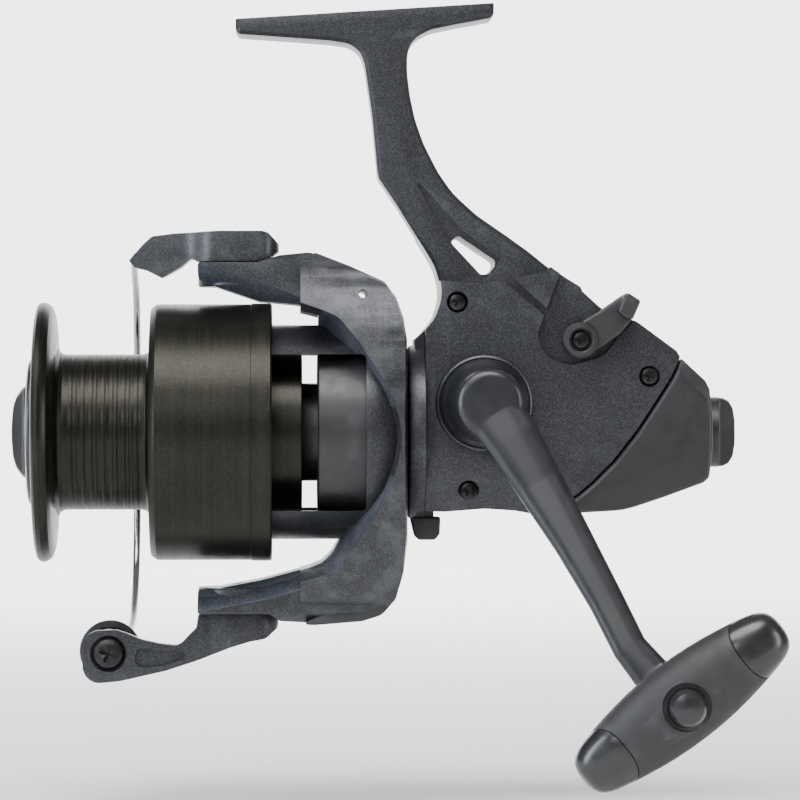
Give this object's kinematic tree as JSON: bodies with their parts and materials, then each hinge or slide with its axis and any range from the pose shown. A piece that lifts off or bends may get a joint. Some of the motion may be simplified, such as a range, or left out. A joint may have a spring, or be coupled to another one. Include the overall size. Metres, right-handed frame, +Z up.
{
  "type": "spinning reel",
  "caption": "Open-face spinning reel with crank handle, rotor, folding bail, sliding spool, front drag and a rear free-spool lever.",
  "frame": {"origin": "middle of the foot's flat face, where the reel meets the rod", "axes": "+X along the main shaft away from the spool, +Y along the handle shaft away from the handle, +Z up out of the foot when the rod is above the reel"},
  "size_m": [0.1921, 0.1695, 0.1969],
  "materials": {
    "speckled_paint": "matt charcoal paint with fine metallic speckle",
    "satin_black": "smooth satin black",
    "satin_paint": "smooth satin black paint",
    "gloss_black": "polished black",
    "anodised": "dark olive-black anodising with turned lines",
    "steel": "ground",
    "polished": "polished",
    "black_steel": "blackened",
    "zinc": "die-cast zinc alloy",
    "brass": "machined",
    "felt": "oiled felt",
    "nylon": "natural nylon",
    "grip": "fine matt texture"
  },
  "bodies": {
    "housing": {"main_housing": "speckled_paint", "side_cover": "speckled_paint", "rear_cover": "satin_black", "cover_screw_1": "black_steel", "cover_screw_2": "black_steel", "cover_screw_3": "black_steel", "near_drive_bearing": "steel", "far_drive_bearing": "steel", "pinion_bearing": "steel", "handle_port_cap": "satin_black", "one_way_clutch": "steel", "guide_rod": "steel", "lay_pivot": "steel"},
    "handle": {"crank": "satin_paint", "drive_shaft": "steel", "drive_gear": "zinc", "knob_spindle": "steel"},
    "knob": {"knob_grip": "grip", "knob_tip_lower": "gloss_black", "knob_tip_upper": "gloss_black", "knob_button": "gloss_black", "knob_bushing_inner": "brass", "knob_bushing_outer": "brass"},
    "rotor_group": {"rotor": "speckled_paint", "pinion_gear": "brass", "rotor_nut": "brass", "nut_cover": "satin_black", "rotor_inner_ring": "satin_black", "upper_arm_cover": "satin_black", "lower_arm_cover": "satin_black", "bail_spring": "steel", "bail_pivot_screw": "black_steel", "roller_arm_screw": "black_steel"},
    "bail": {"bail_arm": "speckled_paint", "roller_arm": "speckled_paint", "bail_wire": "polished", "wire_cone": "satin_black", "roller_screw": "black_steel", "roller_bushing": "nylon"},
    "roller": {"line_roller": "polished"},
    "shaft_group": {"main_shaft": "steel", "lay_slider": "zinc", "spool_seat_washer": "nylon", "click_hub": "zinc", "drag_plate_1": "steel", "drag_plate_2": "steel"},
    "spool_group": {"spool": "anodised", "spool_front_ring": "gloss_black", "drag_felt_1": "felt", "drag_felt_2": "felt", "drag_felt_3": "felt", "drag_clip": "steel"},
    "drag": {"drag_knob": "satin_black", "drag_spring": "steel"},
    "lay": {"lay_gear": "zinc"},
    "free_lever": {"free_spool_lever": "satin_black", "lever_screw": "black_steel"},
    "rear_knob": {"free_spool_knob": "satin_black", "free_spool_plate": "steel"},
    "stop_lever": {"anti_reverse_lever": "satin_black"}
  },
  "joints": [
    {"name": "handle_turn", "type": "hinge", "parent": "housing", "child": "handle", "pos_m": [0.0305, 0, -0.1012], "axis": [0, 1, 0], "continuous": true},
    {"name": "handle_knob_turn", "type": "hinge", "parent": "handle", "child": "knob", "pos_m": [0.0751, 0, -0.1734], "axis": [0, 1, 0], "continuous": true},
    {"name": "rotor_turn", "type": "hinge", "parent": "housing", "child": "rotor_group", "pos_m": [-0.0088, 0, -0.1087], "axis": [1, 0, 0], "continuous": true},
    {"name": "bail_flip", "type": "hinge", "parent": "rotor_group", "child": "bail", "pos_m": [-0.0324, 0, -0.1087], "axis": [0, 0, 1], "range_deg": [0, 105]},
    {"name": "line_roller_turn", "type": "hinge", "parent": "bail", "child": "roller", "pos_m": [-0.0659, 0, -0.1657], "axis": [0, 1, 0], "continuous": true},
    {"name": "spool_stroke", "type": "slide", "parent": "housing", "child": "shaft_group", "axis": [1, 0, 0], "range_m": [-0.01, 0.01]},
    {"name": "spool_spin", "type": "hinge", "parent": "shaft_group", "child": "spool_group", "pos_m": [-0.0595, 0, -0.1087], "axis": [1, 0, 0], "continuous": true},
    {"name": "drag_knob_turn", "type": "hinge", "parent": "shaft_group", "child": "drag", "pos_m": [-0.0855, 0, -0.1087], "axis": [1, 0, 0], "range_deg": [-360, 360]},
    {"name": "lay_gear_turn", "type": "hinge", "parent": "housing", "child": "lay", "pos_m": [0.0494, 0, -0.1012], "axis": [0, 1, 0], "continuous": true},
    {"name": "free_spool_lever_tilt", "type": "hinge", "parent": "housing", "child": "free_lever", "pos_m": [0.0551, 0, -0.0851], "axis": [0, -1, 0], "range_deg": [0, 48]},
    {"name": "free_spool_knob_turn", "type": "hinge", "parent": "housing", "child": "rear_knob", "pos_m": [0.0865, 0, -0.1087], "axis": [1, 0, 0], "range_deg": [-135, 135]},
    {"name": "anti_reverse_tilt", "type": "hinge", "parent": "housing", "child": "stop_lever", "pos_m": [0.0159, 0, -0.1252], "axis": [1, 0, 0], "range_deg": [-15, 15]}
  ],
  "couplings": [
    {"joint": "rotor_turn", "follows": "handle_turn", "ratio": 4.9},
    {"joint": "lay_gear_turn", "follows": "handle_turn", "ratio": -0.5}
  ]
}
